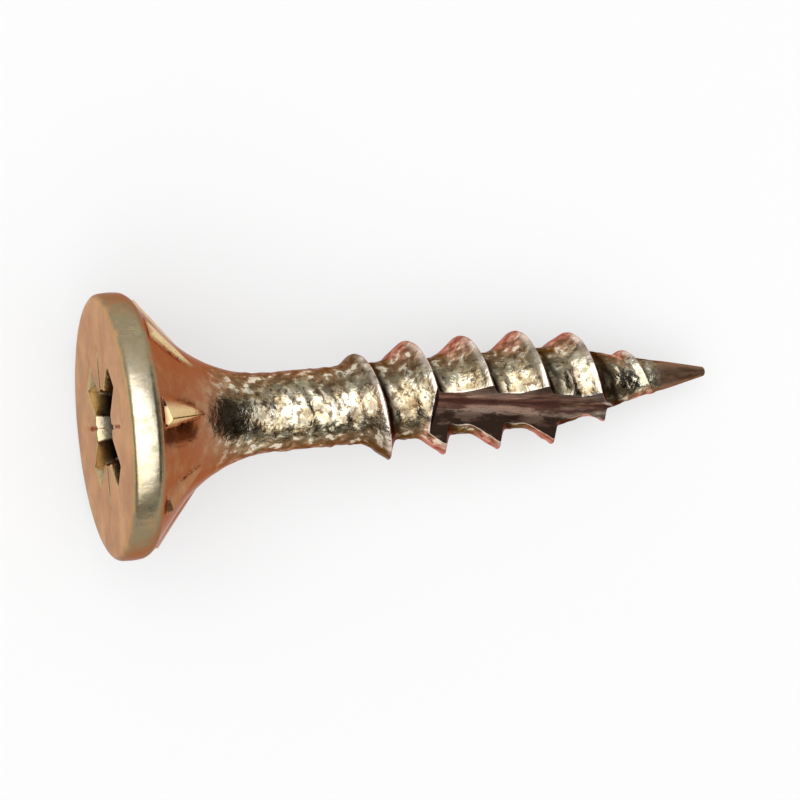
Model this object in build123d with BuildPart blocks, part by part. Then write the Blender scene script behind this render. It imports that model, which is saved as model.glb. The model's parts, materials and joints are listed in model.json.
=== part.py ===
from build123d import *
from math import atan, ceil, cos, degrees, floor, radians, sin, sqrt, tan
import os

# Chipboard screw, one cold-formed and thread-rolled piece of steel.
# It is built standing on its axis (Z runs from the head's face to the tip, +X is
# the side that faces the floor) and then laid down as it rests on a table.
# All lengths in mm, all angles in degrees.

# Overall
length = 19.3
head_diameter = 8.2
core_diameter = 2.5
thread_diameter = 3.6
pitch = 1.75

# Head: flat face, rounded rim band, countersink cone, flare into the core
rim_height = 0.90
rim_bulge = 0.05
face_edge_radius = 0.20
rim_edge_radius = 0.32
cone_half_angle = 50.0
flare_radius = 4.2

# Tip
tip_length = 4.9
tip_radius = 0.13

# Thread: a gentle flank towards the head, a steep one towards the tip
lead_flank_angle = 22.0
back_flank_angle = 54.0
crest_width = 0.07
thread_bearing = -25.0
smooth_neck = 1.55
thread_run_in = 1.65
thread_run_out = 3.0
bare_tip = 1.7

# Cutting ribs under the head
rib_count = 8
rib_inset = 0.25
rib_height = 0.22
rib_length = 1.85
rib_width = 0.90
rib_lean = 0.24
rib_sink = 0.15
rib_bearing = -4.5

# Cross recess, type Z, size 2
recess_span = 4.4
recess_core = 2.34
recess_depth = 2.2
recess_point = 0.45
wing_width = 1.03
wing_slope = 26.5
core_slope = 7.0
tick_reach = 2.4
tick_width = 0.24
tick_depth = 0.10

# Milled flute at the tip, slanting across the shank
flute_length = 9.2
flute_angle = 90.0
flute_floor = 0.58
flute_bearing = 206.0
flute_slant = 8.0
flute_crossing = 7.7
flute_end_angle = 62.0

# Values that follow from the sizes above
head_radius = head_diameter / 2
core_radius = core_diameter / 2
thread_depth = (thread_diameter - core_diameter) / 2
corner_radius = head_radius - rim_bulge
flare_start_radius = core_radius + flare_radius * (1 - cos(radians(cone_half_angle)))
cone_height = (corner_radius - flare_start_radius) / tan(radians(cone_half_angle))
flare_start = rim_height + cone_height
flare_end = flare_start + flare_radius * sin(radians(cone_half_angle))
tip_start = length - tip_length
thread_start = flare_end + smooth_neck
thread_full = thread_start + thread_run_in
fade_end = length - bare_tip
fade_start = fade_end - thread_run_out
buried = 0.16 * thread_depth


def core_surface(z):
    """Radius of the core under the thread: a cylinder, then the tip's cone."""
    left = min(1.0, (length - z) / tip_length)
    return tip_radius + left * (core_radius - tip_radius)


def crest_height(z):
    """Height of the crest over the core: it grows in at the head's end and fades at the tip."""
    grown_in = (z - thread_start) / (thread_full - thread_start)
    faded = (fade_end - z) / (fade_end - fade_start)
    return thread_depth * min(1.0, grown_in, faded)


def helix_point(z, radius, offset):
    """Point of the thread whose middle is at z, at a radius and an offset along the axis."""
    turn = thread_bearing + 360.0 * (z - tip_start) / pitch
    return (radius * cos(radians(turn)), radius * sin(radians(turn)), z + offset)


def crest_point(z, side):
    """Point on one edge of the thread's crest."""
    return helix_point(z, core_surface(z) + crest_height(z), side * crest_width / 2)


def root_point(z, side):
    """Point on one foot of the thread, sunk into the core, at the flank's own angle."""
    depth = crest_height(z) + 2 * buried
    angle = lead_flank_angle if side > 0 else back_flank_angle
    half_width = crest_width / 2 + depth * tan(radians(angle))
    return helix_point(z, core_surface(z) - 2 * buried, side * half_width)


def flare_surface(z):
    """Radius of the flare between the cone and the core."""
    return core_radius + flare_radius - sqrt(flare_radius**2 - (flare_end - z) ** 2)


# Body of revolution: head, flare, core and tip in one profile.
with BuildPart() as blank:
    with BuildSketch(Plane.XZ) as profile:
        with BuildLine():
            face = Line((0, 0), (corner_radius, 0))
            rim = ThreePointArc(face @ 1, (head_radius, rim_height / 2), (corner_radius, rim_height))
            cone = Line(rim @ 1, (flare_start_radius, flare_start))
            flare = RadiusArc(cone @ 1, (core_radius, flare_end), flare_radius)
            core = Line(flare @ 1, (core_radius, tip_start))
            tip = Line(core @ 1, (tip_radius, length))
            Polyline(tip @ 1, (0, length), face @ 0)
        make_face()
        face_edge = profile.vertices().sort_by_distance((corner_radius, 0))[0]
        fillet(face_edge, face_edge_radius)
        cone_edge = profile.vertices().sort_by_distance((corner_radius, rim_height))[0]
        fillet(cone_edge, rim_edge_radius)
        tip_edge = profile.vertices().sort_by_distance((tip_radius, length))[0]
        fillet(tip_edge, tip_radius * 0.7)
    revolve(axis=Axis.Z)

# Thread: one ridge wound round the core, ruled between four long edges.
ridge_start = thread_start - thread_run_in * buried / thread_depth
ridge_end = fade_end + thread_run_out * buried / thread_depth
stations_per_turn = 24
last_station = ceil(stations_per_turn * (ridge_end - ridge_start) / pitch)
spacing = (ridge_end - ridge_start) / last_station
stations = [ridge_start + n * spacing for n in range(last_station + 1)]
corners = [(root_point, -1), (crest_point, -1), (crest_point, 1), (root_point, 1)]
runs = [[point(z, side) for z in stations] for point, side in corners]
pairs = list(zip(runs, runs[1:] + runs[:1]))
edges = [(Edge.make_spline(a), Edge.make_spline(b)) for a, b in pairs]
flanks = [Face.make_surface_from_curves(a, b) for a, b in edges]
ends = [Face(Wire.make_polygon([run[n] for run in runs])) for n in (0, -1)]
with BuildPart() as thread:
    add(Solid(Shell(flanks + ends)))

# One cutting rib: a leaning wedge that tapers to nothing down the cone.
rib_radius = corner_radius - rib_inset
rib_foot = rim_height + rib_inset / tan(radians(cone_half_angle))
rib_tail = rib_foot + rib_length
rib_tail_radius = flare_surface(rib_tail) - rib_sink
with BuildPart() as rib:
    with BuildSketch(Plane.YZ.offset(rib_radius)):
        with BuildLine():
            Polyline(
                (-rib_width / 2, rib_foot - rim_height / 2),
                (rib_width / 2, rib_foot - rim_height / 2),
                (rib_width / 2, rib_foot),
                (rib_lean, rib_foot + rib_height),
                (-rib_width / 2, rib_foot),
                close=True,
            )
        make_face()
    loft(sections=[rib.pending_faces[0], Vertex(rib_tail_radius, 0, rib_tail)])

# Recess: two crossing wings round a tapered core, with four marks between them.
wing_depth = recess_depth - recess_point
wing_end = recess_span / 2 - wing_depth * tan(radians(wing_slope))
core_end = recess_core / 2 - wing_depth * tan(radians(core_slope))
with BuildPart() as wing:
    with BuildSketch(Plane.XZ):
        with BuildLine():
            Polyline(
                (-recess_span / 2, 0),
                (recess_span / 2, 0),
                (wing_end, wing_depth),
                (0, recess_depth),
                (-wing_end, wing_depth),
                close=True,
            )
        make_face()
    extrude(amount=wing_width / 2, both=True)

with BuildPart() as recess_cone:
    with BuildSketch(Plane.XZ):
        with BuildLine():
            Polyline(
                (0, 0),
                (recess_core / 2, 0),
                (core_end, wing_depth),
                (0, recess_depth),
                close=True,
            )
        make_face()
    revolve(axis=Axis.Z)

with BuildPart() as tick:
    with BuildSketch(Plane.YZ):
        Polygon(
            (-tick_width / 2, 0),
            (tick_width / 2, 0),
            (0, tick_depth),
            align=None,
        )
    extrude(amount=tick_reach)

# Flute: a V cut along the tip, with a sloping wall at its rear end. It slants
# across the shank and lies over its bearing where it crosses.
flute_start = length - flute_length
flute_top = thread_diameter / 2 + buried
flute_half = (flute_top - flute_floor) * tan(radians(flute_angle / 2))
end_slope = radians(flute_end_angle)
with BuildPart() as flute:
    with BuildSketch(Plane.XY.offset(flute_start - flute_top)):
        Polygon(
            (flute_floor, 0),
            (flute_top, flute_half),
            (flute_top, -flute_half),
            align=None,
        )
    extrude(amount=flute_length + flute_top + tip_radius)
    end_wall = Plane(origin=(core_radius, 0, flute_start), z_dir=(cos(end_slope), 0, sin(end_slope)))
    split(bisect_by=end_wall, keep=Keep.TOP)
crossing = Pos(0, 0, length - flute_crossing)
slanted_flute = crossing * Rotation(-flute_slant, 0, 0) * crossing.inverse() * flute.part

# The whole screw, still standing on its axis.
with BuildPart() as standing:
    add(blank.part)
    add(thread.part)
    with PolarLocations(0, rib_count, start_angle=rib_bearing):
        add(rib.part)
    with PolarLocations(0, 2, start_angle=45, angular_range=180):
        add(wing.part, mode=Mode.SUBTRACT)
    add(recess_cone.part, mode=Mode.SUBTRACT)
    with PolarLocations(0, 4):
        add(tick.part, mode=Mode.SUBTRACT)
    with PolarLocations(0, 1, start_angle=flute_bearing):
        add(slanted_flute, mode=Mode.SUBTRACT)


def lean(z):
    """Tilt at which the rim and the crest that faces the floor at z touch it together."""
    drop = head_radius - core_surface(z) - crest_height(z)
    return degrees(atan(drop / (z - rim_height / 2)))


# Laid on its rim and on the crest that meets the floor first, centred over the origin.
nearest_crest = tip_start - thread_bearing / 360.0 * pitch
crests_behind = floor((nearest_crest - thread_full) / pitch)
crests_underneath = [nearest_crest + n * pitch for n in range(-crests_behind, 2)]
rest_tilt = min(lean(z) for z in crests_underneath)
laid = Rotation(0, 90 + rest_tilt, 0) * standing.part
middle = laid.bounding_box().center()
lowest = laid.bounding_box().min.Z
with BuildPart() as screw:
    add(Pos(-middle.X, -middle.Y, -lowest) * laid)
screw.part.label = "screw"

os.makedirs("parts", exist_ok=True)
export_step(screw.part, "parts/screw.step")
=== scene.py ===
"""Studio scene of a chipboard screw in yellow-passivated zinc, lying on a pale floor.

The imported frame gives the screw's place and its mounts. The finely modelled screw stands for
the frame's node: recess, face, rim, ribs, flare, rolled thread, point and milled flute are one
closed mesh. All sizes of the screw are in millimetres and become metres when it is laid down.
"""

import json
import logging
import math
from dataclasses import dataclass
from enum import Enum

import bmesh
import bpy
import numpy as np
from mathutils import Matrix, Vector

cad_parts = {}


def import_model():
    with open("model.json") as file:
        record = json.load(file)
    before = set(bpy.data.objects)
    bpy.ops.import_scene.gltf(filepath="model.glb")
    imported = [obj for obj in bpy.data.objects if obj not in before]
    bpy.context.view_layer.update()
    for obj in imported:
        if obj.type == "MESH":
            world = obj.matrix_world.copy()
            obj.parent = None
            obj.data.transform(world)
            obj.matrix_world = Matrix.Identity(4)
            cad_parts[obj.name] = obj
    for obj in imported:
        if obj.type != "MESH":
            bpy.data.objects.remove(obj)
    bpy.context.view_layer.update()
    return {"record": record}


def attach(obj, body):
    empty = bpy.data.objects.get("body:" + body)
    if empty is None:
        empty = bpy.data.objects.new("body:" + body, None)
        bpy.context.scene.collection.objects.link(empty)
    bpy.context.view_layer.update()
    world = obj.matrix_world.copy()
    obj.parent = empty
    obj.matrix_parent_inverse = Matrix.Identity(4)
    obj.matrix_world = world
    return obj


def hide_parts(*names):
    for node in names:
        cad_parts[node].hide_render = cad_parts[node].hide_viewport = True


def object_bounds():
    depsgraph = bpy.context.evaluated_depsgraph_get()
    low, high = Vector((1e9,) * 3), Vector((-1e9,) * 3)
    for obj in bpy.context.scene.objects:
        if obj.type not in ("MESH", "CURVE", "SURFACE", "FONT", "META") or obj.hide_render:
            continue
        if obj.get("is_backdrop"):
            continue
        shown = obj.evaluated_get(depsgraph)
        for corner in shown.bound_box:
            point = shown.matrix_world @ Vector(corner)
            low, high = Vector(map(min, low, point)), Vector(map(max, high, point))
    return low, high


LOG = logging.getLogger("screw_scene")
MM = 0.001
UMBER = (0.195, 0.130, 0.082)
SPECK = (0.13, 0.070, 0.032)

Colour = tuple[float, float, float]
Direction = tuple[float, float, float]
Range = tuple[float, float]
Socket = bpy.types.NodeSocket


def soft_max(a: np.ndarray, b: np.ndarray, width: float | np.ndarray) -> np.ndarray:
    """Larger of two fields, with the crossing rounded over a width.

    Args:
        a: First field.
        b: Second field.
        width: Width of the rounded crossing, in the fields' own unit.

    Returns:
        The blended field, never below either of the two.
    """
    near = np.clip(1.0 - np.abs(a - b) / width, 0.0, 1.0)
    return np.maximum(a, b) + near * near * width / 4.0


def soft_min(a: np.ndarray, b: np.ndarray, width: float | np.ndarray) -> np.ndarray:
    """Smaller of two fields, rounded as in soft_max."""
    return -soft_max(-a, -b, width)


def ease(x: np.ndarray, low: float, high: float) -> np.ndarray:
    """Smooth step from 0 at low to 1 at high, which may be the smaller number.

    Args:
        x: Values to step over.
        low: Where the step is 0.
        high: Where the step is 1.

    Returns:
        The eased values, from 0 to 1.
    """
    t = np.clip((x - low) / (high - low), 0.0, 1.0)
    return t * t * (3.0 - 2.0 * t)


def steps(start: float, end: float, count: int) -> np.ndarray:
    """Evenly spaced values after the start, the last of which is the end."""
    return np.linspace(start, end, count + 1)[1:]


def round_about(count: int) -> np.ndarray:
    """Evenly spaced bearings round the axis, in radians."""
    return np.arange(count) * math.tau / count


class Grain:
    """Repeatable smooth noise over space, for the small unevenness of formed steel."""

    def __init__(self, seed: int, cells: tuple[int, int, int] = (32, 32, 32)) -> None:
        """Fills the lattice from a seed; the noise repeats after its number of cells each way."""
        self.cells = np.array(cells)
        self.lattice = np.random.default_rng(seed).uniform(-1.0, 1.0, cells)

    def at(self, points: np.ndarray) -> np.ndarray:
        """Noise at each point.

        Args:
            points: Array of shape (n, 3), counted in cells.

        Returns:
            One value for each point, from -1 to 1.
        """
        cell = np.floor(points).astype(int)
        part = points - cell
        part = part * part * (3.0 - 2.0 * part)
        total = np.zeros(len(points))
        for corner in np.ndindex(2, 2, 2):
            weight = np.prod(np.where(corner, part, 1.0 - part), axis=1)
            x, y, z = ((cell + corner) % self.cells).T
            total += weight * self.lattice[x, y, z]
        return total


@dataclass(frozen=True)
class ScrewSizes:
    """Driving sizes of the screw, in millimetres and degrees, with the axis along Z from face to tip."""

    length: float = 19.3
    head_diameter: float = 8.2
    core_diameter: float = 2.5
    thread_diameter: float = 3.6
    pitch: float = 1.75
    rim_height: float = 0.90
    rim_bulge: float = 0.05
    face_edge_radius: float = 0.20
    rim_edge_radius: float = 0.32
    cone_half_angle: float = 50.0
    flare_radius: float = 4.2
    tip_length: float = 4.9
    tip_radius: float = 0.13
    lead_flank_angle: float = 22.0
    back_flank_angle: float = 54.0
    crest_width: float = 0.07
    thread_bearing: float = -25.0
    smooth_neck: float = 1.55
    thread_run_in: float = 1.65
    thread_run_out: float = 3.0
    bare_tip: float = 1.7
    neck_join: float = 0.05
    fade_blend: Range = (0.5, -0.4)

    @property
    def core_radius(self) -> float:
        """Radius under the thread."""
        return self.core_diameter / 2

    @property
    def thread_depth(self) -> float:
        """Height of a full crest over the core."""
        return (self.thread_diameter - self.core_diameter) / 2

    @property
    def corner_radius(self) -> float:
        """Radius of the rim where its bulge starts."""
        return self.head_diameter / 2 - self.rim_bulge

    @property
    def cone_angle(self) -> float:
        """Angle between the cone's side and the axis, in radians."""
        return math.radians(self.cone_half_angle)

    @property
    def flare_start_radius(self) -> float:
        """Radius where the cone turns into the flare."""
        return self.core_radius + self.flare_radius * (1 - math.cos(self.cone_angle))

    @property
    def flare_start(self) -> float:
        """Distance from the face to the end of the cone."""
        return self.cone_surface(self.flare_start_radius)

    @property
    def flare_end(self) -> float:
        """Distance from the face to the end of the flare."""
        return self.flare_start + self.flare_radius * math.sin(self.cone_angle)

    @property
    def neck_end(self) -> float:
        """Distance from the face to the ring that joins the head to the shank."""
        return self.flare_end + self.neck_join

    @property
    def tip_start(self) -> float:
        """Distance from the face to the start of the point."""
        return self.length - self.tip_length

    @property
    def thread_start(self) -> float:
        """Distance from the face to the first trace of the thread."""
        return self.flare_end + self.smooth_neck

    @property
    def fade_end(self) -> float:
        """Distance from the face to the last trace of the thread."""
        return self.length - self.bare_tip

    def cone_surface(self, radius: float | np.ndarray) -> float | np.ndarray:
        """Distance from the face to the cone at a radius."""
        return self.rim_height + (self.corner_radius - radius) / math.tan(self.cone_angle)

    def flare_surface(self, z: np.ndarray) -> np.ndarray:
        """Radius of the flare, and of the core behind it, at a distance from the face."""
        behind = np.clip(self.flare_end - z, 0.0, self.flare_radius)
        return self.core_radius + self.flare_radius - np.sqrt(self.flare_radius**2 - behind**2)

    def core_surface(self, z: np.ndarray) -> np.ndarray:
        """Radius of the shank without its thread: flare, core and point.

        Args:
            z: Distance from the face.

        Returns:
            The radius at each distance.
        """
        left = np.clip((self.length - z) / self.tip_length, 0.0, 1.0)
        point = self.tip_radius + left * (self.core_radius - self.tip_radius)
        return np.where(z < self.flare_end, self.flare_surface(z), point)

    def crest_height(self, z: np.ndarray) -> np.ndarray:
        """Height of the crest over the core, which grows in slowly and fades on the point.

        Args:
            z: Distance from the face.

        Returns:
            The height at each distance.
        """
        grown_in = np.clip((z - self.thread_start) / self.thread_run_in, 0.0, 1.0) ** 2
        faded = (self.fade_end - z) / self.thread_run_out
        return self.thread_depth * np.clip(np.minimum(grown_in, faded), 0.0, 1.0)

    def before_point(self, z: np.ndarray) -> np.ndarray:
        """Share that is 1 along the shank and falls to 0 where the thread has faded away."""
        past, short = self.fade_blend
        return ease(z, self.fade_end + past, self.fade_end + short)


@dataclass(frozen=True)
class RibSizes:
    """Sizes of the cutting ribs under the head, in millimetres and degrees."""

    count: int = 8
    inset: float = 0.25
    height: float = 0.22
    length: float = 1.85
    width: float = 0.90
    lean: float = 0.24
    sink: float = 0.15
    bearing: float = -4.5
    foot_blend: float = 0.05
    ridge_blend: float = 0.2
    end_wall: float = 0.012
    end_shelf: float = 0.1
    tapered_share: float = 0.999
    side_steepness: float = 2.0
    straight_share: float = 0.6
    straight_outside: Range = (0.12, 0.03)
    straight_inside: Range = (-0.6, -0.05)
    crowding: float = 0.6
    crowding_start: float = 0.1
    crowding_run_out: float = 1.2


@dataclass(frozen=True)
class RecessSizes:
    """Sizes of the cross recess and of its four radial marks, in millimetres and degrees."""

    span: float = 4.4
    core: float = 2.34
    depth: float = 2.2
    point: float = 0.45
    wing_width: float = 1.03
    wing_slope: float = 26.5
    core_slope: float = 7.0
    wall_draft: float = 1.5
    lip_radius: float = 0.07
    floor_radius: float = 0.12
    corner_blend: float = 0.10
    least_sine: float = 0.02
    tick_reach: float = 2.4
    tick_width: float = 0.24
    tick_depth: float = 0.10
    tick_fade: float = 0.12


@dataclass(frozen=True)
class HeadRows:
    """Number of rows of points on each stretch of the head, from the recess's floor outwards."""

    recess_floor: int = 5
    recess_foot: int = 4
    recess_wall: int = 6
    recess_lip: int = 4
    face: int = 13
    face_edge: int = 9
    rim: int = 4
    rim_edge: int = 11
    rib_ends: int = 6
    rib_shelf: int = 5
    cone: int = 22
    ribbed_flare: int = 16
    bare_flare: int = 14


class Slot(Enum):
    """Order of the finishes on the screw's mesh."""

    PLATED = 0
    MILLED = 1


class Shell:
    """Collects rings of points and the faces between them."""

    def __init__(self) -> None:
        """Starts with nothing."""
        self.points: list[np.ndarray] = []
        self.faces: list[tuple[int, ...]] = []
        self.count = 0

    def ring(self, radius: np.ndarray | float, bearing: np.ndarray, z: np.ndarray | float) -> np.ndarray:
        """Adds points given by radius, bearing and distance from the face.

        Args:
            radius: Distance from the axis, in millimetres.
            bearing: Angle round the axis, in radians.
            z: Distance from the face, in millimetres.

        Returns:
            The new points' numbers.
        """
        radius = np.broadcast_to(radius, bearing.shape)
        z = np.broadcast_to(z, bearing.shape)
        self.points.append(np.stack([radius * np.cos(bearing), radius * np.sin(bearing), z], axis=1))
        start = self.count
        self.count += len(bearing)
        return np.arange(start, self.count)

    def extend(self, last: np.ndarray, *place: np.ndarray | float) -> np.ndarray:
        """Adds a ring and joins it to the last one with quads.

        Args:
            last: Numbers of the last ring, which has as many points.
            *place: Radius, bearing and distance from the face.

        Returns:
            The new points' numbers.
        """
        ring = self.ring(*place)
        for i in range(len(ring)):
            j = (i + 1) % len(ring)
            self.faces.append((last[i], last[j], ring[j], ring[i]))
        return ring

    def halve(self, a: np.ndarray, b: np.ndarray) -> None:
        """Joins a ring to one of half as many points with triangles.

        Args:
            a: Numbers of the ring with all points.
            b: Numbers of the ring with half as many.
        """
        for i in range(len(b)):
            j = (i + 1) % len(b)
            middle, after = a[2 * i + 1], a[(2 * i + 2) % len(a)]
            self.faces += [(a[2 * i], middle, b[i]), (middle, b[j], b[i]), (middle, after, b[j])]

    def close(self, ring: np.ndarray, z: float) -> None:
        """Closes a ring with a fan to a point on the axis.

        Args:
            ring: Numbers of the ring.
            z: Distance of the point from the face.
        """
        centre = self.ring(np.zeros(1), np.zeros(1), z)[0]
        for i in range(len(ring)):
            self.faces.append((ring[i], ring[(i + 1) % len(ring)], centre))


@dataclass(frozen=True)
class Head:
    """Recess, face, rim, ribbed cone and flare, as rings from the recess's floor to the neck."""

    sizes: ScrewSizes
    ribs: RibSizes = RibSizes()
    recess: RecessSizes = RecessSizes()
    rows: HeadRows = HeadRows()
    columns: int = 384

    @property
    def rib_start(self) -> float:
        """Radius at which the ribs' ends stand on the cone."""
        return self.sizes.corner_radius - self.ribs.inset

    @property
    def rib_foot(self) -> float:
        """Distance from the face to the ribs' ends."""
        return self.sizes.rim_height + self.ribs.inset / math.tan(self.sizes.cone_angle)

    def recess_outline(self, depth: float, grow: float) -> np.ndarray:
        """Radius of the recess's wall at a depth.

        Args:
            depth: Distance below the face.
            grow: How far the outline is moved outwards.

        Returns:
            One radius for each bearing.
        """
        r = self.recess
        turned = round_about(self.columns) % (math.pi / 2) - math.pi / 4
        half = r.wing_width / 2 - depth * math.tan(math.radians(r.wall_draft)) + grow
        reach = r.span / 2 - depth * math.tan(math.radians(r.wing_slope)) + grow
        core = r.core / 2 - depth * math.tan(math.radians(r.core_slope)) + grow
        side = half / np.maximum(np.abs(np.sin(turned)), r.least_sine)
        wing = soft_min(reach / np.cos(turned), side, r.corner_blend)
        return soft_max(wing, np.full_like(wing, core), r.corner_blend)

    def tick_groove(self, radius: np.ndarray) -> np.ndarray:
        """Depth of the four radial marks at each bearing.

        Args:
            radius: Distance from the axis at each bearing.

        Returns:
            Depth below the face.
        """
        r = self.recess
        turned = (round_about(self.columns) + math.pi / 4) % (math.pi / 2) - math.pi / 4
        across = np.abs(radius * np.sin(turned)) / (r.tick_width / 2)
        fade = ease(radius, r.tick_reach, r.tick_reach - r.tick_fade)
        return r.tick_depth * np.clip(1.0 - across, 0.0, 1.0) * fade

    def from_rib(self, bearing: np.ndarray) -> np.ndarray:
        """Angle from the nearest rib's middle to each bearing, in radians."""
        sector = math.tau / self.ribs.count
        return (bearing - math.radians(self.ribs.bearing) + sector / 2) % sector - sector / 2

    def rib_surface(self, radius: np.ndarray, bearing: np.ndarray, z: np.ndarray) -> np.ndarray:
        """Lifts the cone where a rib stands on it.

        Args:
            radius: Distance from the axis.
            bearing: Angle round the axis, in radians.
            z: Distance of the bare cone from the face.

        Returns:
            Distance from the face with the ribs.
        """
        r, start, foot = self.ribs, self.rib_start, self.rib_foot
        turned = self.from_rib(bearing)
        out, across = radius * np.cos(turned), radius * np.sin(turned)
        tail = foot + r.length
        tail_radius = float(self.sizes.flare_surface(np.array(tail))) - r.sink
        along = np.clip((start - out) / (start - tail_radius), 0.0, r.tapered_share)
        left = 1.0 - along
        side = across / left
        steep = (r.width / 2 - side) / (r.width / 2 - r.lean)
        gentle = (r.width / 2 + side) / (r.width / 2 + r.lean)
        beyond = np.clip(np.abs(side) - r.width / 2, 0.0, None)
        wedge = foot + r.height * soft_min(steep, gentle, r.ridge_blend) - r.side_steepness * beyond
        top = left * wedge + along * tail
        top -= 2.0 * r.height / r.end_wall * np.clip(out - start, 0.0, None)
        return soft_max(z, top, r.foot_blend)

    def end_line(self, radius: float, bearing: np.ndarray) -> np.ndarray:
        """How far a row is moved outwards to follow the ribs' straight ends.

        Args:
            radius: Distance of the row from the axis.
            bearing: Angle round the axis, in radians.

        Returns:
            One distance for each bearing.
        """
        r, start = self.ribs, self.rib_start
        half = r.width / start * r.straight_share
        bow = start * (1.0 / np.cos(np.clip(self.from_rib(bearing), -half, half)) - 1.0)
        for low, high in (r.straight_outside, r.straight_inside):
            bow = bow * ease(np.array(radius), start + low, start + high)
        return bow

    def crowd(self, z: float) -> np.ndarray:
        """Bearings of a row, drawn together at the ribs.

        Args:
            z: Distance of the row from the face.

        Returns:
            One bearing for each column, in radians.
        """
        s, r = self.sizes, self.ribs
        bearing = round_about(self.columns)
        amount = ease(np.array(z), r.crowding_start, s.rim_height)
        amount = float(amount * ease(np.array(z), s.flare_end, s.flare_end - r.crowding_run_out))
        wave = np.sin(r.count * (bearing - math.radians(r.bearing))) / r.count
        return bearing - amount * r.crowding * wave

    def inner_rows(self) -> list[tuple[np.ndarray, np.ndarray | float]]:
        """Rows of points from the recess's floor over its lip to the face's edge.

        Returns:
            Radius and distance from the face of each row's points.
        """
        s, r, rows = self.sizes, self.recess, self.rows
        wall_end, quarter = r.depth - r.point, math.pi / 2
        floor_edge = self.recess_outline(wall_end, -r.floor_radius)
        path = [(t * floor_edge, r.depth - t * r.point) for t in steps(0, 1, rows.recess_floor)]
        for a in steps(0, quarter, rows.recess_foot):
            depth = wall_end - r.floor_radius * (1 - math.cos(a))
            path.append((self.recess_outline(depth, -r.floor_radius * (1 - math.sin(a))), depth))
        for depth in steps(wall_end - r.floor_radius, r.lip_radius, rows.recess_wall):
            path.append((self.recess_outline(depth, 0.0), depth))
        for a in steps(0, quarter, rows.recess_lip):
            depth = r.lip_radius * (1 - math.sin(a))
            outline = self.recess_outline(depth, r.lip_radius * (1 - math.cos(a)))
            path.append((outline, np.maximum(depth, self.tick_groove(outline))))
        mouth, outer = path[-1][0], s.corner_radius - s.face_edge_radius
        for t in steps(0, 1, rows.face + 1)[:-1]:
            radius = mouth + t * (outer - mouth)
            path.append((radius, self.tick_groove(radius)))
        return path

    def profile(self) -> list[tuple[float, float]]:
        """Outline of the outside, from the face's edge to the neck.

        Returns:
            Pairs of radius and distance from the face.
        """
        s, rows = self.sizes, self.rows
        edge, blend = s.face_edge_radius, s.rim_edge_radius
        inner, band_end = s.corner_radius - edge, s.rim_height - blend * math.tan(s.cone_angle / 2)
        quarter = np.linspace(0, math.pi / 2, rows.face_edge)
        path = [(inner + edge * math.sin(a), edge - edge * math.cos(a)) for a in quarter]
        path += [(s.corner_radius, z) for z in steps(edge, band_end, rows.rim)]
        for a in steps(0, s.cone_angle, rows.rim_edge):
            path.append((s.corner_radius - blend * (1 - math.cos(a)), band_end + blend * math.sin(a)))
        start = self.rib_start
        shelf_end = start - self.ribs.end_shelf
        radii = [
            *steps(path[-1][0], start + self.ribs.end_wall, rows.rib_ends),
            *np.linspace(start, shelf_end, rows.rib_shelf),
            *steps(shelf_end, s.flare_start_radius, rows.cone),
        ]
        path += [(r, s.cone_surface(r)) for r in radii]
        ribbed = self.rib_foot + self.ribs.length
        curve = [
            *steps(s.flare_start, ribbed, rows.ribbed_flare),
            *steps(ribbed, s.flare_end, rows.bare_flare),
        ]
        path += [(float(s.flare_surface(z)), z) for z in curve]
        return path

    def build(self, shell: Shell, columns_after: int) -> np.ndarray:
        """Adds the head to the shell.

        Args:
            shell: Shell that takes the rings.
            columns_after: Number of points of the last ring, half of the head's own.

        Returns:
            The last ring's numbers.
        """
        s = self.sizes
        first, *others = self.inner_rows()
        bearing = round_about(self.columns)
        ring = shell.ring(first[0], bearing, first[1])
        shell.close(ring, self.recess.depth)
        for radius, z in others:
            ring = shell.extend(ring, radius, bearing, z)
        for radius, z in self.profile():
            bearing = self.crowd(z)
            bulge = s.rim_bulge * max(0.0, 1 - (2 * z / s.rim_height - 1) ** 2)
            shift = self.end_line(radius, bearing)
            lifted = self.rib_surface(radius + shift, bearing, z - shift / math.tan(s.cone_angle))
            height = lifted if z > s.rim_height / 2 else z
            ring = shell.extend(ring, radius + bulge + shift, bearing, height)
        after = shell.ring(s.core_radius, round_about(columns_after), s.neck_end)
        shell.halve(ring, after)
        return after


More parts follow.
